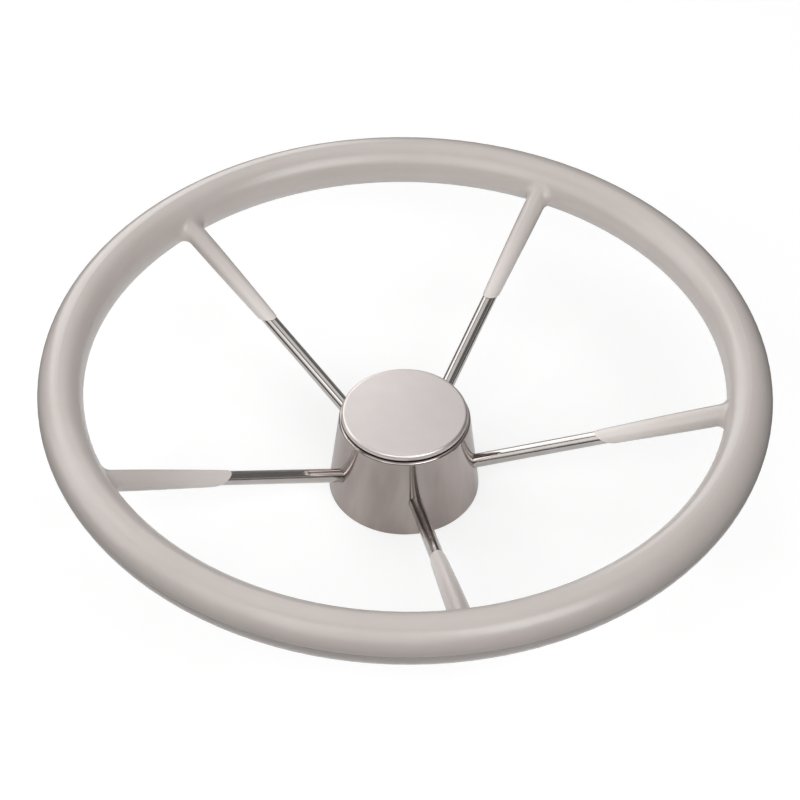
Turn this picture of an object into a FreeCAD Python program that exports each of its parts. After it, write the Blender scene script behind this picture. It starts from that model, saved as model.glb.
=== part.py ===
import FreeCAD, Part
import math
import os

# A dished five-spoke boat steering wheel, with a moulded grip on a welded stainless frame.
# The origin is the centre of the hub's back face, which seats towards the helm.
# Z is the axis of the helm's shaft and points at the driver. Lengths are in millimetres.

# Rim: a bent tube inside the grip
RIM_RADIUS = 184.75          # shaft axis to the tube's centre line
RIM_HEIGHT = 80.6            # back face to the tube's centre plane
RIM_TUBE_RADIUS = 8.0
RIM_TUBE_WALL = 1.5

# Grip: an oval moulding round the rim, with a sleeve down each spoke
GRIP_HALF_WIDTH = 12.2       # along the rim's radius
GRIP_HALF_HEIGHT = 13.8      # along the shaft's axis
SLEEVE_LENGTH = 79.5         # rim tube to the middle of the sleeve's oblique end
SLEEVE_TIP_WALL = 0.4
SLEEVE_MID_WALL = 2.0        # pole of the sleeve's curve, not a point on it
SLEEVE_ROOT_WALL = 1.9
SLEEVE_MID_SHARE = 0.48      # the pole's place along the sleeve, from the rim
SLEEVE_END_SLANT = 50.0      # degrees; the driver's side reaches nearer the hub
SLEEVE_FILLET = 6.0

# Spokes: straight rods from the boss to the upper inner side of the rim tube
SPOKE_COUNT = 5
FIRST_SPOKE_ANGLE = -80.4    # degrees from +X, the spoke nearest the driver
SPOKE_RADIUS = 3.85
SPOKE_AXIS_HEIGHT = 4.7      # where the centre lines meet the shaft's axis
SPOKE_RIM_RISE = 4.0         # how far above the tube's centre they point

# Boss: turned hub for a standard tapered helm shaft, one in twelve
BOSS_RADIUS = 17.0
BOSS_LENGTH = 38.1
BOSS_CHAMFER = 1.0
BORE_LARGE_RADIUS = 9.525
BORE_TAPER = 12.0            # length for each unit of diameter lost
KEYWAY_WIDTH = 4.76
KEYWAY_DEPTH = 2.4
KEYWAY_ANGLE = 90.0

# Shell: pressed cone with its top edge turned in as a flange
SHELL_BASE_RADIUS = 41.8
SHELL_TOP_RADIUS = 36.0
SHELL_FLANGE_WIDTH = 4.0
SHELL_WALL = 1.5
SHELL_BEND = 1.4
SPOKE_HOLE_CLEARANCE = 0.15
BACK_PLATE_THICKNESS = 2.0

# Cap: turned, with a spigot that sits in the shell's mouth over a rubber ring
CAP_LIP_OVERHANG = 2.7       # lip's edge past the mouth
CAP_LIP_HEIGHT = 3.0
CAP_LIP_ROUND = 1.9
CAP_CROWN = 0.5
CAP_WALL = 1.3
CAP_SPIGOT_LENGTH = 6.6
CAP_CLEARANCE = 0.3
SEAL_THICKNESS = 1.2
SEAL_WIDTH = 2.0

# Shaft hardware for a half-inch thread
WASHER_RADIUS = 13.5
WASHER_HOLE_RADIUS = 6.75
WASHER_THICKNESS = 2.0
NUT_ACROSS_FLATS = 19.05
NUT_HEIGHT = 7.94
NUT_BORE_RADIUS = 5.75
NUT_CHAMFER_ANGLE = 30.0
NUT_BORE_CHAMFER = 0.7
NUT_HEADROOM = 4.26          # nut's top face to the inside of the cap

ORIGIN = FreeCAD.Vector(0, 0, 0)
X_AXIS = FreeCAD.Vector(1, 0, 0)
Y_AXIS = FreeCAD.Vector(0, 1, 0)
Z_AXIS = FreeCAD.Vector(0, 0, 1)

# Dish angle of the spokes, and the distance along a spoke to where it passes the rim tube
RIM_DROP = RIM_HEIGHT - SPOKE_AXIS_HEIGHT
DISH = math.atan2(RIM_DROP + SPOKE_RIM_RISE, RIM_RADIUS)
SPOKE_REACH = RIM_RADIUS * math.cos(DISH) + RIM_DROP * math.sin(DISH)

# The shell is as tall as the boss and its hardware need under the cap, and its mouth is what the flange leaves
CAP_INSIDE_HEIGHT = BOSS_LENGTH + WASHER_THICKNESS + NUT_HEIGHT + NUT_HEADROOM
SHELL_HEIGHT = CAP_INSIDE_HEIGHT + CAP_WALL - CAP_LIP_HEIGHT - SEAL_THICKNESS
SHELL_MOUTH_RADIUS = SHELL_TOP_RADIUS - SHELL_FLANGE_WIDTH


def revolve(points, axis=Z_AXIS):
    """Solid of revolution of a closed outline, given in the XZ plane."""
    corners = [FreeCAD.Vector(x, 0, z) for x, z in points]
    wire = Part.makePolygon(corners + corners[:1])
    return Part.Face(wire).revolve(ORIGIN, axis, 360)


def spoke_angles():
    return [FIRST_SPOKE_ANGLE + 360.0 * k / SPOKE_COUNT for k in range(SPOKE_COUNT)]


def on_spoke(shape, angle):
    """Carries a shape made along +X onto the centre line of the spoke at this angle."""
    placed = shape.copy()
    placed.rotate(ORIGIN, Y_AXIS, -math.degrees(DISH))
    placed.translate(FreeCAD.Vector(0, 0, SPOKE_AXIS_HEIGHT))
    placed.rotate(ORIGIN, Z_AXIS, angle)
    return placed


def edges_at(shape, radius, height):
    """The circular edges about the shaft's axis at this radius and height."""
    found = []
    for edge in shape.Edges:
        curve = edge.Curve
        if curve.TypeId == "Part::GeomCircle" and abs(curve.Radius - radius) < 1e-6:
            if abs(curve.Center.z - height) < 1e-6:
                found.append(edge)
    return found


def rim_torus(radius):
    return Part.makeTorus(RIM_RADIUS, radius, FreeCAD.Vector(0, 0, RIM_HEIGHT), Z_AXIS)


def rod(radius, start, end):
    """Round bar along +X between two distances from the shaft's axis."""
    return Part.makeCylinder(radius, end - start, FreeCAD.Vector(start, 0, 0), X_AXIS)


def rim_tube():
    return rim_torus(RIM_TUBE_RADIUS).cut(rim_torus(RIM_TUBE_RADIUS - RIM_TUBE_WALL))


def spoke(angle):
    """Rod coped to the boss at one end and to the rim tube at the other."""
    bar = on_spoke(rod(SPOKE_RADIUS, BOSS_RADIUS / 2, SPOKE_REACH), angle)
    return bar.cut(Part.makeCylinder(BOSS_RADIUS, BOSS_LENGTH)).cut(rim_torus(RIM_TUBE_RADIUS))


def sleeve():
    """Tapering sleeve along +X, solid, with its oblique end cut towards the hub."""
    slant = math.radians(SLEEVE_END_SLANT)
    tip_radius = SPOKE_RADIUS + SLEEVE_TIP_WALL
    root_radius = SPOKE_RADIUS + SLEEVE_ROOT_WALL
    end = SPOKE_REACH - SLEEVE_LENGTH
    start = end - root_radius * math.tan(slant)
    tip = FreeCAD.Vector(start, 0, tip_radius)
    root = FreeCAD.Vector(SPOKE_REACH, 0, root_radius)
    pole = FreeCAD.Vector(SPOKE_REACH - SLEEVE_MID_SHARE * SLEEVE_LENGTH, 0, SPOKE_RADIUS + SLEEVE_MID_WALL)
    curve = Part.BezierCurve()
    curve.setPoles([tip, pole, root])
    start_centre = FreeCAD.Vector(start, 0, 0)
    root_centre = FreeCAD.Vector(SPOKE_REACH, 0, 0)
    outline = Part.Wire([
        curve.toShape(),
        Part.makeLine(root, root_centre),
        Part.makeLine(root_centre, start_centre),
        Part.makeLine(start_centre, tip),
    ])
    body = Part.Face(outline).revolve(ORIGIN, X_AXIS, 360)
    size = 6 * root_radius
    waste = Part.makeBox(size, size, size, FreeCAD.Vector(-size, -size / 2, -size / 2))
    waste.rotate(ORIGIN, Y_AXIS, -SLEEVE_END_SLANT)
    waste.translate(FreeCAD.Vector(end, 0, 0))
    return body.cut(waste)


def sleeve_joints(body):
    """The closed edges where the sleeves run into the oval ring."""
    found = []
    for edge in body.Edges:
        centre = edge.CenterOfMass
        from_tube = RIM_RADIUS - math.hypot(centre.x, centre.y)
        if edge.isClosed() and 0 < from_tube < 2 * GRIP_HALF_WIDTH and edge.Length < RIM_RADIUS:
            if edge.Curve.TypeId == "Part::GeomBSplineCurve":
                found.append(edge)
    return found


def grip():
    """Oval ring with its sleeves, filleted where they meet, then hollowed for the tube and the rods."""
    oval = Part.Ellipse(ORIGIN, GRIP_HALF_HEIGHT, GRIP_HALF_WIDTH)
    section = Part.Face(Part.Wire([oval.toShape()]))
    section.rotate(ORIGIN, Z_AXIS, 90)
    section.rotate(ORIGIN, X_AXIS, 90)
    section.translate(FreeCAD.Vector(RIM_RADIUS, 0, RIM_HEIGHT))
    ring = section.revolve(ORIGIN, Z_AXIS, 360)
    body = ring.fuse([on_spoke(sleeve(), angle) for angle in spoke_angles()])
    body = body.makeFillet(SLEEVE_FILLET, sleeve_joints(body))
    hollow = [rim_torus(RIM_TUBE_RADIUS)]
    hollow += [on_spoke(rod(SPOKE_RADIUS, BOSS_RADIUS, SPOKE_REACH), angle) for angle in spoke_angles()]
    return body.cut(hollow)


def cone_radius(height):
    """Outer radius of the shell at a height above its back edge."""
    return SHELL_BASE_RADIUS + (SHELL_TOP_RADIUS - SHELL_BASE_RADIUS) * height / SHELL_HEIGHT


def cone_inside(height):
    lean = math.atan2(SHELL_BASE_RADIUS - SHELL_TOP_RADIUS, SHELL_HEIGHT)
    return cone_radius(height) - SHELL_WALL / math.cos(lean)


def hub_shell():
    under_flange = SHELL_HEIGHT - SHELL_WALL
    body = revolve([
        (cone_inside(0), 0),
        (cone_radius(0), 0),
        (SHELL_TOP_RADIUS, SHELL_HEIGHT),
        (SHELL_MOUTH_RADIUS, SHELL_HEIGHT),
        (SHELL_MOUTH_RADIUS, under_flange),
        (cone_inside(under_flange), under_flange),
    ])
    body = body.makeFillet(SHELL_BEND, edges_at(body, SHELL_TOP_RADIUS, SHELL_HEIGHT))
    reach = 2 * SHELL_BASE_RADIUS
    holes = [
        on_spoke(rod(SPOKE_RADIUS + SPOKE_HOLE_CLEARANCE, BOSS_RADIUS, reach), angle)
        for angle in spoke_angles()
    ]
    return body.cut(holes)


def hub_back_plate():
    return revolve([
        (BOSS_RADIUS, 0),
        (cone_inside(0), 0),
        (cone_inside(BACK_PLATE_THICKNESS), BACK_PLATE_THICKNESS),
        (BOSS_RADIUS, BACK_PLATE_THICKNESS),
    ])


def hub_boss():
    body = Part.makeCylinder(BOSS_RADIUS, BOSS_LENGTH)
    body = body.makeChamfer(BOSS_CHAMFER, edges_at(body, BOSS_RADIUS, BOSS_LENGTH))
    small_radius = BORE_LARGE_RADIUS - BOSS_LENGTH / BORE_TAPER / 2
    bore = Part.makeCone(BORE_LARGE_RADIUS, small_radius, BOSS_LENGTH)
    lean = math.degrees(math.atan2(BORE_LARGE_RADIUS - small_radius, BOSS_LENGTH))
    depth = BORE_LARGE_RADIUS + KEYWAY_DEPTH
    keyway = Part.makeBox(depth, KEYWAY_WIDTH, 3 * BOSS_LENGTH,
                          FreeCAD.Vector(-depth, -KEYWAY_WIDTH / 2, -BOSS_LENGTH))
    keyway.rotate(ORIGIN, Y_AXIS, -lean)
    keyway.translate(FreeCAD.Vector(depth, 0, 0))
    keyway.rotate(ORIGIN, Z_AXIS, KEYWAY_ANGLE)
    return body.cut(bore).cut(keyway)


def shaft_washer():
    outer = Part.makeCylinder(WASHER_RADIUS, WASHER_THICKNESS, FreeCAD.Vector(0, 0, BOSS_LENGTH))
    return outer.cut(Part.makeCylinder(WASHER_HOLE_RADIUS, WASHER_THICKNESS, FreeCAD.Vector(0, 0, BOSS_LENGTH)))


def shaft_nut():
    """Hexagon nut on the washer, with its corners turned off at both faces."""
    base = BOSS_LENGTH + WASHER_THICKNESS
    corner_radius = NUT_ACROSS_FLATS / 2 / math.cos(math.pi / 6)
    corners = [
        FreeCAD.Vector(corner_radius * math.cos(math.pi * k / 3), corner_radius * math.sin(math.pi * k / 3), base)
        for k in range(7)
    ]
    body = Part.Face(Part.makePolygon(corners)).extrude(FreeCAD.Vector(0, 0, NUT_HEIGHT))
    turned_off = (corner_radius - NUT_ACROSS_FLATS / 2) * math.tan(math.radians(NUT_CHAMFER_ANGLE))
    top = base + NUT_HEIGHT
    turned = revolve([
        (0, base),
        (NUT_ACROSS_FLATS / 2, base),
        (corner_radius, base + turned_off),
        (corner_radius, top - turned_off),
        (NUT_ACROSS_FLATS / 2, top),
        (0, top),
    ])
    bore = revolve([
        (0, base),
        (NUT_BORE_RADIUS + NUT_BORE_CHAMFER, base),
        (NUT_BORE_RADIUS, base + NUT_BORE_CHAMFER),
        (NUT_BORE_RADIUS, top - NUT_BORE_CHAMFER),
        (NUT_BORE_RADIUS + NUT_BORE_CHAMFER, top),
        (0, top),
    ])
    return body.common(turned).cut(bore)


def cap_seal():
    spigot_radius = SHELL_MOUTH_RADIUS - CAP_CLEARANCE
    place = FreeCAD.Vector(0, 0, SHELL_HEIGHT)
    outer = Part.makeCylinder(spigot_radius + SEAL_WIDTH, SEAL_THICKNESS, place)
    return outer.cut(Part.makeCylinder(spigot_radius, SEAL_THICKNESS, place))


def hub_cap():
    """Shallow domed cap with a rounded lip, hollow inside its spigot."""
    lip_base = SHELL_HEIGHT + SEAL_THICKNESS
    lip_top = lip_base + CAP_LIP_HEIGHT
    lip_radius = SHELL_MOUTH_RADIUS + CAP_LIP_OVERHANG
    spigot_radius = SHELL_MOUTH_RADIUS - CAP_CLEARANCE
    spigot_end = lip_base - CAP_SPIGOT_LENGTH
    inside_radius = spigot_radius - CAP_WALL
    dome_radius = ((lip_radius - CAP_LIP_ROUND) ** 2 + CAP_CROWN ** 2) / (2 * CAP_CROWN)
    body = revolve([(0, lip_base), (lip_radius, lip_base), (lip_radius, lip_top), (0, lip_top)])
    body = body.makeFillet(CAP_LIP_ROUND, edges_at(body, lip_radius, lip_top))
    dome = Part.makeSphere(dome_radius, FreeCAD.Vector(0, 0, lip_top + CAP_CROWN - dome_radius))
    dome = dome.common(Part.makeCylinder(lip_radius - CAP_LIP_ROUND, 2 * CAP_CROWN, FreeCAD.Vector(0, 0, lip_top)))
    spigot = Part.makeCylinder(spigot_radius, CAP_SPIGOT_LENGTH, FreeCAD.Vector(0, 0, spigot_end))
    hollow = Part.makeCylinder(inside_radius, CAP_INSIDE_HEIGHT - spigot_end, FreeCAD.Vector(0, 0, spigot_end))
    return body.fuse([dome, spigot]).removeSplitter().cut(hollow)


def write(name, shape):
    shape.exportStep("parts/" + name + ".step")
    print(name, "solids", len(shape.Solids), "valid", shape.isValid(), "volume", round(shape.Volume, 1))


os.makedirs("parts", exist_ok=True)
write("grip", grip())
write("rim_tube", rim_tube())
for number, spoke_angle in enumerate(spoke_angles(), start=1):
    write("spoke_" + str(number), spoke(spoke_angle))
write("hub_shell", hub_shell())
write("hub_boss", hub_boss())
write("hub_back_plate", hub_back_plate())
write("hub_cap", hub_cap())
write("cap_seal", cap_seal())
write("shaft_washer", shaft_washer())
write("shaft_nut", shaft_nut())
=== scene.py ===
import math

import bmesh
import bpy
from mathutils import Matrix, Vector


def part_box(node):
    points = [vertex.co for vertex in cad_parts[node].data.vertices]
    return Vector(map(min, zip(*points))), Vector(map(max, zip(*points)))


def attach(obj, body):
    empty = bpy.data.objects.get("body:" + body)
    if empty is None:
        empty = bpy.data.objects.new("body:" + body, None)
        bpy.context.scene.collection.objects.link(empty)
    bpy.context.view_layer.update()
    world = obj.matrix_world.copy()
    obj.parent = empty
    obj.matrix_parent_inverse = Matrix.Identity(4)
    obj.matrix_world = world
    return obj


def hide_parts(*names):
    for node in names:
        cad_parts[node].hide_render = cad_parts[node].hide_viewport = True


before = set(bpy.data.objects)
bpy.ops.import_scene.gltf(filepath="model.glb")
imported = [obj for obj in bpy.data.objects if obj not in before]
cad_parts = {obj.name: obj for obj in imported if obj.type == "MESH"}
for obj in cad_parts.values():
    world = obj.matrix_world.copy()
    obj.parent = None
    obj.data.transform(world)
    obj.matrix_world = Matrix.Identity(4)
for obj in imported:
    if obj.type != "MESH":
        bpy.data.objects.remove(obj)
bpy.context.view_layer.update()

# Camera. The wheel is seen from the driver's side and from above, through a long lens, with the front spoke
# running towards the viewer. The place, the tilt and the lens come from a fit to the rim's two outlines.
CAMERA_PLACE = (-0.0027, -0.9874, 1.0237)
CAMERA_DIP = 44.236
CAMERA_ROLL = 0.689
CAMERA_LENS = 114.13
SENSOR_WIDTH = 36.0

camera_data = bpy.data.cameras.new("camera")
camera_data.sensor_width = SENSOR_WIDTH
camera_data.lens = CAMERA_LENS
camera = bpy.data.objects.new("camera", camera_data)
bpy.context.scene.collection.objects.link(camera)
tilt = Matrix.Rotation(math.radians(90.0 - CAMERA_DIP), 4, "X")
roll = Matrix.Rotation(math.radians(CAMERA_ROLL), 4, "Z")
camera.matrix_world = Matrix.Translation(CAMERA_PLACE) @ tilt @ roll
bpy.context.scene.camera = camera
bpy.context.scene.view_settings.view_transform = "Standard"


# Floor and backdrop. A white sheet that keeps the wheel's soft shadow. Its look is lifted towards white for
# the camera, and a little for what the steel mirrors. It throws light back up only under the wheel, as a
# small bright table in a dim room would.
def add_node(tree, kind, inputs=None, **settings):
    """Adds a shader node, sets it up, and fills or links the inputs named by label or number."""
    made = tree.nodes.new(kind)
    for name, value in settings.items():
        setattr(made, name, value)
    for name, value in (inputs or {}).items():
        if isinstance(value, bpy.types.NodeSocket):
            tree.links.new(value, made.inputs[name])
        else:
            made.inputs[name].default_value = value
    return made


def calculate(tree, operation, *values, **settings):
    """The result of one sum on plain values or sockets."""
    made = add_node(tree, "ShaderNodeMath", dict(enumerate(values)), operation=operation, **settings)
    return made.outputs[0]


def change_over(tree, value, span, ends, curve="LINEAR"):
    """Goes from the first of two ends to the second while the value crosses the span."""
    made = add_node(tree, "ShaderNodeMapRange",
                    {"Value": value, "From Min": span[0], "From Max": span[1], "To Min": ends[0],
                     "To Max": ends[1]}, interpolation_type=curve)
    return made.outputs[0]


def white_to_view(tree, rays, to_camera, in_steel):
    """How white a surface is made to look to the camera, and to what the steel mirrors."""
    mirrored = calculate(tree, "MAXIMUM", rays.outputs["Is Glossy Ray"], rays.outputs["Is Transmission Ray"])
    steel_share = calculate(tree, "MULTIPLY", mirrored, in_steel)
    return calculate(tree, "MULTIPLY_ADD", rays.outputs["Is Camera Ray"], to_camera, steel_share)


def new_material(name):
    """An empty node material and its tree."""
    material = bpy.data.materials.new(name)
    material.use_nodes = True
    material.node_tree.nodes.clear()
    return material, material.node_tree


def new_object(name, data):
    """Puts a finished mesh or a lamp in the scene as an object at the origin."""
    made = bpy.data.objects.new(name, data)
    bpy.context.scene.collection.objects.link(made)
    return made


WHITE = (1.0, 1.0, 1.0, 1.0)
FLOOR_SIZE = 8.0
FLOOR_GREY = 0.42
FLOOR_LIFT_FOR_CAMERA = 0.66
FLOOR_LIFT_FAR_OFF = 1.0
FLOOR_LIFT_GROWS = (0.9, 2.5)
FLOOR_LIFT_IN_STEEL = 0.05
BOUNCE_UNDER_WHEEL = 0.90
BOUNCE_BEYOND = 0.06
BOUNCE_EDGE = (0.185, 0.25)

floor_mesh = bpy.data.meshes.new("floor")
sheet = bmesh.new()
bmesh.ops.create_grid(sheet, x_segments=1, y_segments=1, size=FLOOR_SIZE / 2)
sheet.to_mesh(floor_mesh)
sheet.free()
floor = new_object("floor", floor_mesh)

floor_material, tree = new_material("white_floor")
rays = add_node(tree, "ShaderNodeLightPath")
place = add_node(tree, "ShaderNodeTexCoord").outputs["Object"]
from_middle = add_node(tree, "ShaderNodeVectorMath", {0: place}, operation="LENGTH").outputs["Value"]
camera_lift = change_over(tree, from_middle, FLOOR_LIFT_GROWS, (FLOOR_LIFT_FOR_CAMERA, FLOOR_LIFT_FAR_OFF))
lift = white_to_view(tree, rays, camera_lift, FLOOR_LIFT_IN_STEEL)
glow = add_node(tree, "ShaderNodeEmission", {"Color": WHITE, "Strength": lift})
bounce = change_over(tree, from_middle, BOUNCE_EDGE, (BOUNCE_UNDER_WHEEL, BOUNCE_BEYOND), "SMOOTHSTEP")
grey = add_node(tree, "ShaderNodeMix", {0: rays.outputs["Is Camera Ray"], 2: bounce, 3: FLOOR_GREY})
paper = add_node(tree, "ShaderNodeBsdfDiffuse", {"Color": grey.outputs[0]})
both = add_node(tree, "ShaderNodeAddShader", {0: paper.outputs[0], 1: glow.outputs[0]})
add_node(tree, "ShaderNodeOutputMaterial", {"Surface": both.outputs[0]})
floor_mesh.materials.append(floor_material)


# Room and lamps. A dim studio that looks white to the camera, with wide soft lamps all round, the strongest
# at the front right. A low one at the back gives the rim its bright band, and the steel shows the dark gaps
# between the lamps.
def mix_colours(tree, share, first, second):
    """A colour that goes from the first to the second as the share goes from 0 to 1."""
    return add_node(tree, "ShaderNodeMix", {0: share, 6: first, 7: second}, data_type="RGBA").outputs[2]


ROOM_GREYS = [(0.0, 0.10), (0.25, 0.14), (1.0, 0.12)]
ROOM_WHITE_IN_STEEL = 0.05
LAMP_DISTANCE = 1.8
LAMPS = [
    # name, compass angle from +X, height angle, width, watts
    ("lamp_overhead", 60.0, 84.0, 1.6, 5.6),
    ("lamp_key", -54.0, 38.0, 1.0, 11.0),
    ("lamp_front", -100.0, 34.0, 1.5, 8.0),
    ("lamp_front_left", -135.0, 36.0, 1.3, 5.0),
    ("lamp_left", 176.0, 14.0, 1.3, 7.0),
    ("lamp_back", 80.0, 50.0, 1.4, 2.4),
    ("lamp_back_left", 150.0, 40.0, 1.0, 5.0),
    ("lamp_back_low", 112.0, 20.0, 1.2, 8.5),
]

world = bpy.data.worlds.new("studio")
bpy.context.scene.world = world
world.use_nodes = True
tree = world.node_tree
tree.nodes.clear()
compass = add_node(tree, "ShaderNodeTexCoord")
heights = add_node(tree, "ShaderNodeSeparateXYZ", {0: compass.outputs["Generated"]})
ramp = add_node(tree, "ShaderNodeValToRGB", {0: heights.outputs["Z"]})
while len(ramp.color_ramp.elements) < len(ROOM_GREYS):
    ramp.color_ramp.elements.new(0.5)
for element, (height, tone) in zip(ramp.color_ramp.elements, ROOM_GREYS):
    element.position = height
    element.color = (tone, tone, tone, 1)
rays = add_node(tree, "ShaderNodeLightPath")
seen = mix_colours(tree, white_to_view(tree, rays, 1.0, ROOM_WHITE_IN_STEEL), ramp.outputs[0], WHITE)
background = add_node(tree, "ShaderNodeBackground", {"Color": seen, "Strength": 1.0})
add_node(tree, "ShaderNodeOutputWorld", {"Surface": background.outputs[0]})

rim_low, rim_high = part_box("rim_tube")
look_at = Vector((0, 0, rim_low.z))
for name, compass_angle, height_angle, width, watts in LAMPS:
    lamp_data = bpy.data.lights.new(name, "AREA")
    lamp_data.shape = "SQUARE"
    lamp_data.size = width
    lamp_data.energy = watts
    lamp = new_object(name, lamp_data)
    across = math.radians(compass_angle)
    up = math.radians(height_angle)
    away = Vector((math.cos(across) * math.cos(up), math.sin(across) * math.cos(up), math.sin(up)))
    lamp.location = look_at + LAMP_DISTANCE * away
    lamp.rotation_euler = away.to_track_quat("Z", "Y").to_euler()


# Rim tube. A round stainless tube, bent to a ring and welded shut, that the outer ends of the spokes are
# welded to. It lies hidden in the foam, so it is left unpolished and dull.
def new_group(name, takes, gives):
    """A shader node group with its inputs and their first values, and its outputs."""
    group = bpy.data.node_groups.new(name, "ShaderNodeTree")
    for label, value in takes.items():
        kind = "NodeSocketVector" if label == "Vector" else "NodeSocketFloat"
        socket = group.interface.new_socket(label, in_out="INPUT", socket_type=kind)
        if value is not None:
            socket.default_value = value
    for label in gives:
        group.interface.new_socket(label, in_out="OUTPUT", socket_type="NodeSocketFloat")
    return group, group.nodes.new("NodeGroupInput"), group.nodes.new("NodeGroupOutput")


def soft_patches_group():
    """Slow changes of tone or gloss, as on a handled or polished surface, and streaks of painted reflection.
    The size is in metres.
    """
    group, enter, leave = new_group("soft_patches", {"Vector": None, "Size": 0.03, "Contrast": 0.5},
                                    ["Patch"])
    count = calculate(group, "DIVIDE", 1.0, enter.outputs["Size"])
    cloud = add_node(group, "ShaderNodeTexNoise",
                     {"Vector": enter.outputs["Vector"], "Scale": count, "Detail": 3.0, "Roughness": 0.55})
    centred = calculate(group, "SUBTRACT", cloud.outputs["Fac"], 0.5)
    patch = calculate(group, "MULTIPLY_ADD", centred, enter.outputs["Contrast"], 0.5, use_clamp=True)
    group.links.new(patch, leave.inputs["Patch"])
    return group


def fine_lines_group():
    """Fine lines left by turning or polishing, which follow one another along a length given in metres."""
    breaks_per_metre = 90.0
    break_span = (0.35, 0.65)
    strength_ends = (0.5, 1.0)
    group, enter, leave = new_group("fine_lines", {"Along": 0.0, "Line Width": 0.0003, "Vector": None},
                                    ["Lines"])
    step = calculate(group, "DIVIDE", enter.outputs["Along"], enter.outputs["Line Width"])
    lines = add_node(group, "ShaderNodeTexNoise", {"W": step, "Scale": 1.0, "Detail": 3.0, "Roughness": 0.7},
                     noise_dimensions="1D")
    broken = add_node(group, "ShaderNodeTexNoise",
                      {"Vector": enter.outputs["Vector"], "Scale": breaks_per_metre, "Detail": 2.0})
    strength = change_over(group, broken.outputs["Fac"], break_span, strength_ends)
    height = calculate(group, "MULTIPLY", lines.outputs["Fac"], strength)
    group.links.new(height, leave.inputs["Lines"])
    return group


def principled(tree, **looks):
    """The one surface shader of a material, from plain values and from sockets that vary over it."""
    inputs = {label.replace("_", " "): value for label, value in looks.items()}
    shader = add_node(tree, "ShaderNodeBsdfPrincipled", inputs)
    add_node(tree, "ShaderNodeOutputMaterial", {"Surface": shader.outputs[0]})


def place_on_wheel(tree):
    """The place on the wheel, its height, and its distance from the shaft's axis."""
    place = add_node(tree, "ShaderNodeTexCoord").outputs["Object"]
    parts = add_node(tree, "ShaderNodeSeparateXYZ", {0: place})
    flat_place = add_node(tree, "ShaderNodeCombineXYZ", {"X": parts.outputs["X"], "Y": parts.outputs["Y"]})
    from_shaft = add_node(tree, "ShaderNodeVectorMath", {0: flat_place.outputs[0]}, operation="LENGTH")
    return place, parts.outputs["Z"], from_shaft.outputs["Value"]


def steel_finish(name, colour, dull_and_painted_reflection_colour, roughness, lines_along, line_width, line_depth, patch_size,
                 stretch=1.0):
    """Stainless steel whose lines run round the shaft's axis, at steps of height or of radius."""
    material, tree = new_material(name)
    place, height, from_shaft = place_on_wheel(tree)
    along = {"height": height, "radius": from_shaft}[lines_along]
    lines = add_node(tree, "ShaderNodeGroup", {"Along": along, "Line Width": line_width, "Vector": place},
                     node_tree=fine_lines)
    # Stretched upright, the patches between the two colours become streaks of painted reflection, as on the
    # hub shell.
    squeezed = add_node(tree, "ShaderNodeMapping", {"Vector": place, "Scale": (1.0, 1.0, 1.0 / stretch)})
    patches = add_node(tree, "ShaderNodeGroup",
                       {"Vector": squeezed.outputs[0], "Size": patch_size, "Contrast": STEEL_CONTRAST},
                       node_tree=soft_patches)
    patch = patches.outputs["Patch"]
    smooth, rough = roughness
    bump = add_node(tree, "ShaderNodeBump", {"Height": lines.outputs["Lines"], "Distance": line_depth})
    principled(tree, Metallic=1.0, Base_Color=mix_colours(tree, patch, dull_and_painted_reflection_colour, colour),
               Roughness=change_over(tree, patch, (0.0, 1.0), (rough, smooth)), Normal=bump.outputs[0])
    return material


def dress(node_name, material):
    """Gives a CAD node its finish in place of the plain one."""
    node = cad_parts[node_name]
    node.data.materials.clear()
    node.data.materials.append(material)


STEEL_CONTRAST = 1.6
TUBE_STEEL = (0.560, 0.490, 0.465, 1)
TUBE_STEEL_DULL = (0.450, 0.430, 0.410, 1)

soft_patches = soft_patches_group()
fine_lines = fine_lines_group()
dress("rim_tube", steel_finish("tube_steel", TUBE_STEEL, TUBE_STEEL_DULL, roughness=(0.35, 0.50),
                               lines_along="height", line_width=0.0004, line_depth=0.00002, patch_size=0.02))

# Hub boss. It is turned from stainless bar, with the tapered bore and the keyway for the shaft, and shows its
# tool's rings. The inner ends of the spokes are welded to it.
TURNED_STEEL = (0.640, 0.570, 0.545, 1)
TURNED_STEEL_DULL = (0.560, 0.490, 0.465, 1)

dress("hub_boss", steel_finish("turned_steel", TURNED_STEEL, TURNED_STEEL_DULL, roughness=(0.22, 0.32),
                               lines_along="height", line_width=0.00045, line_depth=0.00002, patch_size=0.01))

# Spokes. Five straight stainless rods, polished on a belt, so that their fine lines run round them. They
# pass through the shell's holes and are welded to the boss inside and to the rim tube in the foam.
SPOKE_STEEL = (0.620, 0.590, 0.570, 1)
SPOKE_STEEL_DULL = (0.530, 0.500, 0.480, 1)

spoke_steel = steel_finish("spoke_steel", SPOKE_STEEL, SPOKE_STEEL_DULL, roughness=(0.06, 0.12),
                           lines_along="radius", line_width=0.00025, line_depth=0.000002, patch_size=0.012)
SPOKES = sorted(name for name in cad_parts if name.startswith("spoke_"))
for name in SPOKES:
    dress(name, spoke_steel)

# Spoke welds. A bead of filler runs round each rod where it meets the boss, inside the shell. It is laid in
# small steps, which leave ripples, and it isn't ground or polished, because the shell covers it.
SPOKE_RADIUS = 0.00385
SPOKE_START_HEIGHT = 0.0047
BEAD_RADIUS = 0.0012
BEAD_CENTRE = SPOKE_RADIUS + 0.4 * BEAD_RADIUS
BEAD_SIDES = 14
BEAD_STEPS = 132
BEAD_RIPPLES = 22
BEAD_RIPPLE_SHARE = 0.10
WELD_STEEL = (0.500, 0.470, 0.430, 1)
WELD_STEEL_DULL = (0.340, 0.300, 0.260, 1)

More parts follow.
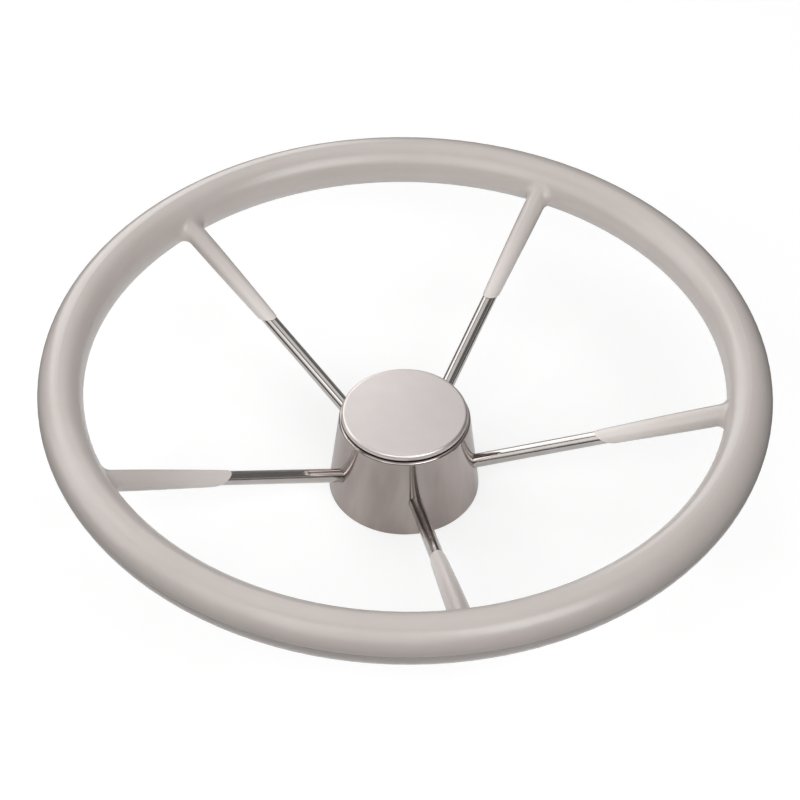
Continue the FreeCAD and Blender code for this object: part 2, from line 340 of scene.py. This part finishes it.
boss_low, boss_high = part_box("hub_boss")
weld_steel = steel_finish("weld_steel", WELD_STEEL, WELD_STEEL_DULL, roughness=(0.30, 0.45),
                          lines_along="height", line_width=0.0006, line_depth=0.00002, patch_size=0.003)
for name in SPOKES:
    low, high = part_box(name)
    middle = (low + high) / 2
    aim = math.atan2(middle.y, middle.x)
    reach = math.hypot(middle.x, middle.y)
    dish = math.atan2(middle.z - SPOKE_START_HEIGHT, reach)
    bead = bmesh.new()
    bmesh.ops.create_circle(bead, segments=BEAD_SIDES, radius=BEAD_RADIUS)
    bmesh.ops.translate(bead, verts=bead.verts, vec=(BEAD_CENTRE, 0, 0))
    bmesh.ops.rotate(bead, verts=bead.verts, cent=(0, 0, 0), matrix=Matrix.Rotation(math.radians(90), 3, "X"))
    bmesh.ops.spin(bead, geom=bead.verts[:] + bead.edges[:], cent=(0, 0, 0), axis=(0, 0, 1),
                   angle=2 * math.pi, steps=BEAD_STEPS, use_merge=True)
    for vert in bead.verts:
        turn = math.atan2(vert.co.y, vert.co.x)
        core = Vector((math.cos(turn), math.sin(turn), 0)) * BEAD_CENTRE
        swell = 1 + BEAD_RIPPLE_SHARE * math.sin(BEAD_RIPPLES * turn)
        vert.co = core + (vert.co - core) * swell
    bmesh.ops.recalc_face_normals(bead, faces=bead.faces)
    bmesh.ops.scale(bead, verts=bead.verts, vec=(1 / math.cos(dish), 1, 1))
    bmesh.ops.rotate(bead, verts=bead.verts, cent=(0, 0, 0), matrix=Matrix.Rotation(math.radians(90), 3, "Y"))
    foot = SPOKE_START_HEIGHT + boss_high.x * math.tan(dish)
    bmesh.ops.translate(bead, verts=bead.verts, vec=(boss_high.x, 0, foot))
    bmesh.ops.rotate(bead, verts=bead.verts, cent=(0, 0, 0), matrix=Matrix.Rotation(aim, 3, "Z"))
    for face in bead.faces:
        face.smooth = True
    bead_mesh = bpy.data.meshes.new("weld_" + name)
    bead.to_mesh(bead_mesh)
    bead.free()
    bead_mesh.materials.append(weld_steel)
    weld = new_object("weld_" + name, bead_mesh)
    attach(weld, "wheel")

# Grip. One light grey self-skinning foam moulding, poured round the rim tube and the outer part of the
# spokes. Its satin skin has a fine grain and slow ripples, and a faint parting line runs round its outside.
# Painted light: the sleeves are painted paler towards their thin ends, standing in for the light falling on
# them.
FOAM_COLOUR = (0.605, 0.553, 0.522, 1)
FOAM_SHADE = (0.560, 0.506, 0.475, 1)
FOAM_PAINTED_LIGHT_AT_TIP = (0.800, 0.745, 0.710, 1)
PAINTED_LIGHT_TIP_ENDS = (0.095, 0.172)
FOAM_ROUGHNESS = (0.38, 0.31)
SKIN_COAT = 0.80
SKIN_COAT_ROUGHNESS = 0.27
MOTTLE_SIZE = 0.035
MOTTLE_CONTRAST = 1.4
GRAIN_SIZE = 0.0008
GRAIN_DEPTH = 0.00004
RIPPLE_SIZE = 0.024
RIPPLE_DEPTH = 0.00025
PARTING_LINE_WIDTH = 0.0007
PARTING_LINE_HEIGHT = 0.0002

foam, tree = new_material("grip_foam")
place, height, from_shaft = place_on_wheel(tree)
mottle = add_node(tree, "ShaderNodeGroup",
                  {"Vector": place, "Size": MOTTLE_SIZE, "Contrast": MOTTLE_CONTRAST}, node_tree=soft_patches)
patch = mottle.outputs["Patch"]
colour = mix_colours(tree, patch, FOAM_SHADE, FOAM_COLOUR)
# Painted light: the colour turns paler towards the sleeves' thin ends, near the shaft.
painted_light_at_tip = change_over(tree, from_shaft, PAINTED_LIGHT_TIP_ENDS, (1.0, 0.0), "SMOOTHSTEP")
ripple = add_node(tree, "ShaderNodeTexNoise", {"Vector": place, "Scale": 1 / RIPPLE_SIZE, "Detail": 1.0})
rippled = add_node(tree, "ShaderNodeBump", {"Height": ripple.outputs["Fac"], "Distance": RIPPLE_DEPTH})
grain = add_node(tree, "ShaderNodeTexVoronoi", {"Vector": place, "Scale": 1 / GRAIN_SIZE},
                 feature="SMOOTH_F1")
grained = add_node(tree, "ShaderNodeBump",
                   {"Height": grain.outputs["Distance"], "Distance": GRAIN_DEPTH,
                    "Normal": rippled.outputs[0]})
off_line = calculate(tree, "ABSOLUTE", calculate(tree, "SUBTRACT", height, (rim_low.z + rim_high.z) / 2))
ridge = change_over(tree, off_line, (0.0, PARTING_LINE_WIDTH), (1.0, 0.0), "SMOOTHSTEP")
outside = calculate(tree, "GREATER_THAN", from_shaft, rim_high.x)
parting_line = calculate(tree, "MULTIPLY", ridge, outside)
parted = add_node(tree, "ShaderNodeBump",
                  {"Height": parting_line, "Distance": PARTING_LINE_HEIGHT, "Normal": grained.outputs[0]})
principled(tree, Base_Color=mix_colours(tree, painted_light_at_tip, colour, FOAM_PAINTED_LIGHT_AT_TIP),
           Roughness=change_over(tree, patch, (0.0, 1.0), FOAM_ROUGHNESS), Normal=parted.outputs[0],
           Coat_Weight=SKIN_COAT, Coat_Roughness=SKIN_COAT_ROUGHNESS)
dress("grip", foam)

# Hub shell. A cone pressed from stainless sheet, polished in a lathe, with its top edge turned in and five
# oblique holes for the spokes. It mirrors the spokes and the room, and its colour also carries dark and light
# upright streaks, a painted reflection of the room.
SHELL_STEEL = (0.580, 0.520, 0.497, 1)
SHELL_PAINTED_REFLECTION_DARK = (0.320, 0.275, 0.257, 1)
PAINTED_REFLECTION_STRETCH = 4.0

# Painted reflection: the much darker tone, stretched upright, paints blurred streaks of the room into the
# colour.
dress("hub_shell", steel_finish("polished_steel", SHELL_STEEL, SHELL_PAINTED_REFLECTION_DARK, roughness=(0.10, 0.20),
                                lines_along="height", line_width=0.00030, line_depth=0.000004,
                                patch_size=0.022, stretch=PAINTED_REFLECTION_STRETCH))

# Hub back plate. A flat ring cut from stainless sheet and faced in a lathe, so it shows its tool's rings. It
# closes the back of the shell round the boss.
dress("hub_back_plate", steel_finish("plate_steel", TURNED_STEEL, TURNED_STEEL_DULL, roughness=(0.24, 0.36),
                                     lines_along="radius", line_width=0.0005, line_depth=0.00002,
                                     patch_size=0.02))

# Shaft washer. A flat ring cut from stainless sheet and faced. It lies on the boss's front face, under the
# nut, and spreads the nut's pressure.
dress("shaft_washer", steel_finish("washer_steel", TURNED_STEEL, TURNED_STEEL_DULL, roughness=(0.20, 0.30),
                                   lines_along="radius", line_width=0.0004, line_depth=0.00001,
                                   patch_size=0.006))

# Shaft nut. A chamfered hexagon nut of stainless bar, screwed down on the washer. Its thread is cut here as
# a real spiral groove with flat crests, in place of the plain bore of the solid, and ends at the bore's two
# countersinks.
THREAD_PITCH = 0.00127
THREAD_DEPTH = 0.00057
THREAD_STEPS = 48
THREAD_LEAD_IN = 1.5 * THREAD_PITCH
THREAD_SPARE_TURNS = 2
THREAD_PROFILE = [  # share of the pitch, share of the depth
    (0.0, 0.0),
    (0.25, 0.0),
    (0.56, 1.0),
    (0.69, 1.0),
    (1.0, 0.0),
]
COUNTERSINK = 0.0007
CREASE_ANGLE = math.radians(25)
BORE_WALL_LIMIT = 1.01
MERGE_SOLID = 0.000002
MERGE_THREAD = 0.000005

nut_low, nut_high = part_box("shaft_nut")
nut_shape = bmesh.new()
nut_shape.from_mesh(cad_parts["shaft_nut"].data)
bmesh.ops.remove_doubles(nut_shape, verts=nut_shape.verts, dist=MERGE_SOLID)
bore_radius = min(math.hypot(vert.co.x, vert.co.y) for vert in nut_shape.verts)
bore_wall = [face for face in nut_shape.faces
             if all(math.hypot(vert.co.x, vert.co.y) < bore_radius * BORE_WALL_LIMIT for vert in face.verts)]
bmesh.ops.delete(nut_shape, geom=bore_wall, context="FACES")

groove = bmesh.new()
points = [groove.verts.new((bore_radius + THREAD_DEPTH * deep, 0, THREAD_PITCH * along))
          for along, deep in THREAD_PROFILE]
for first, second in zip(points, points[1:]):
    groove.edges.new((first, second))
turns = math.ceil((nut_high.z - nut_low.z) / THREAD_PITCH) + THREAD_SPARE_TURNS
bmesh.ops.spin(groove, geom=groove.verts[:] + groove.edges[:], cent=(0, 0, 0), axis=(0, 0, 1),
               dvec=(0, 0, THREAD_PITCH / THREAD_STEPS), angle=2 * math.pi * turns,
               steps=THREAD_STEPS * turns)
bmesh.ops.translate(groove, verts=groove.verts, vec=(0, 0, nut_low.z - THREAD_LEAD_IN))
bmesh.ops.remove_doubles(groove, verts=groove.verts, dist=MERGE_THREAD)
for face_height, outwards in [(nut_low.z, -1), (nut_high.z, 1)]:
    bmesh.ops.bisect_plane(groove, geom=groove.verts[:] + groove.edges[:] + groove.faces[:],
                           plane_co=(0, 0, face_height), plane_no=(0, 0, outwards), clear_outer=True)
cut_away = set()
for vert in groove.verts:
    out = math.hypot(vert.co.x, vert.co.y)
    depth = min(vert.co.z - nut_low.z, nut_high.z - vert.co.z)
    cone = bore_radius + COUNTERSINK - depth
    if out <= cone:
        vert.co.x *= cone / out
        vert.co.y *= cone / out
        cut_away.add(vert)
stray = [face for face in groove.faces if all(vert in cut_away for vert in face.verts)]
bmesh.ops.delete(groove, geom=stray, context="FACES")
for face in groove.faces:
    middle = face.calc_center_median()
    if face.normal.dot(Vector((middle.x, middle.y, 0))) > 0:
        face.normal_flip()
thread_mesh = bpy.data.meshes.new("nut_thread")
groove.to_mesh(thread_mesh)
groove.free()

nut_shape.from_mesh(thread_mesh)
for face in nut_shape.faces:
    face.smooth = True
for edge in nut_shape.edges:
    edge.smooth = len(edge.link_faces) == 2 and edge.calc_face_angle() < CREASE_ANGLE
nut_mesh = bpy.data.meshes.new("nut")
nut_shape.to_mesh(nut_mesh)
nut_shape.free()
nut_mesh.attributes.remove(nut_mesh.attributes["custom_normal"])
nut_mesh.materials.append(steel_finish("nut_steel", TURNED_STEEL, TURNED_STEEL_DULL, roughness=(0.16, 0.24),
                                       lines_along="radius", line_width=0.0003, line_depth=0.00001,
                                       patch_size=0.004))
nut = new_object("nut", nut_mesh)
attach(nut, "wheel")
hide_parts("shaft_nut")

# Cap seal. A flat ring of black rubber, a little dusty in places. It lies between the cap's lip and the
# shell, keeps spray off the nut, and comes off with the cap.
RUBBER = (0.018, 0.018, 0.019, 1)
DUSTY_RUBBER = (0.050, 0.048, 0.046, 1)
RUBBER_ROUGHNESS = (0.55, 0.80)
DUST_SIZE = 0.004
DUST_CONTRAST = 2.5

seal_rubber, tree = new_material("seal_rubber")
place = add_node(tree, "ShaderNodeTexCoord").outputs["Object"]
dust = add_node(tree, "ShaderNodeGroup", {"Vector": place, "Size": DUST_SIZE, "Contrast": DUST_CONTRAST},
                node_tree=soft_patches)
patch = dust.outputs["Patch"]
principled(tree, Base_Color=mix_colours(tree, patch, RUBBER, DUSTY_RUBBER),
           Roughness=change_over(tree, patch, (0.0, 1.0), RUBBER_ROUGHNESS))
dress("cap_seal", seal_rubber)

# Hub cap. A shallow cup drawn from stainless sheet, with a satin face and a rounded lip, pushed over the
# shell's mouth. It pulls off along the shaft to reach the nut.
CAP_STEEL = (0.800, 0.744, 0.724, 1)
CAP_STEEL_DULL = (0.750, 0.693, 0.674, 1)

dress("hub_cap", steel_finish("cap_satin", CAP_STEEL, CAP_STEEL_DULL, roughness=(0.34, 0.42),
                              lines_along="radius", line_width=0.00035, line_depth=0.000010,
                              patch_size=0.015))
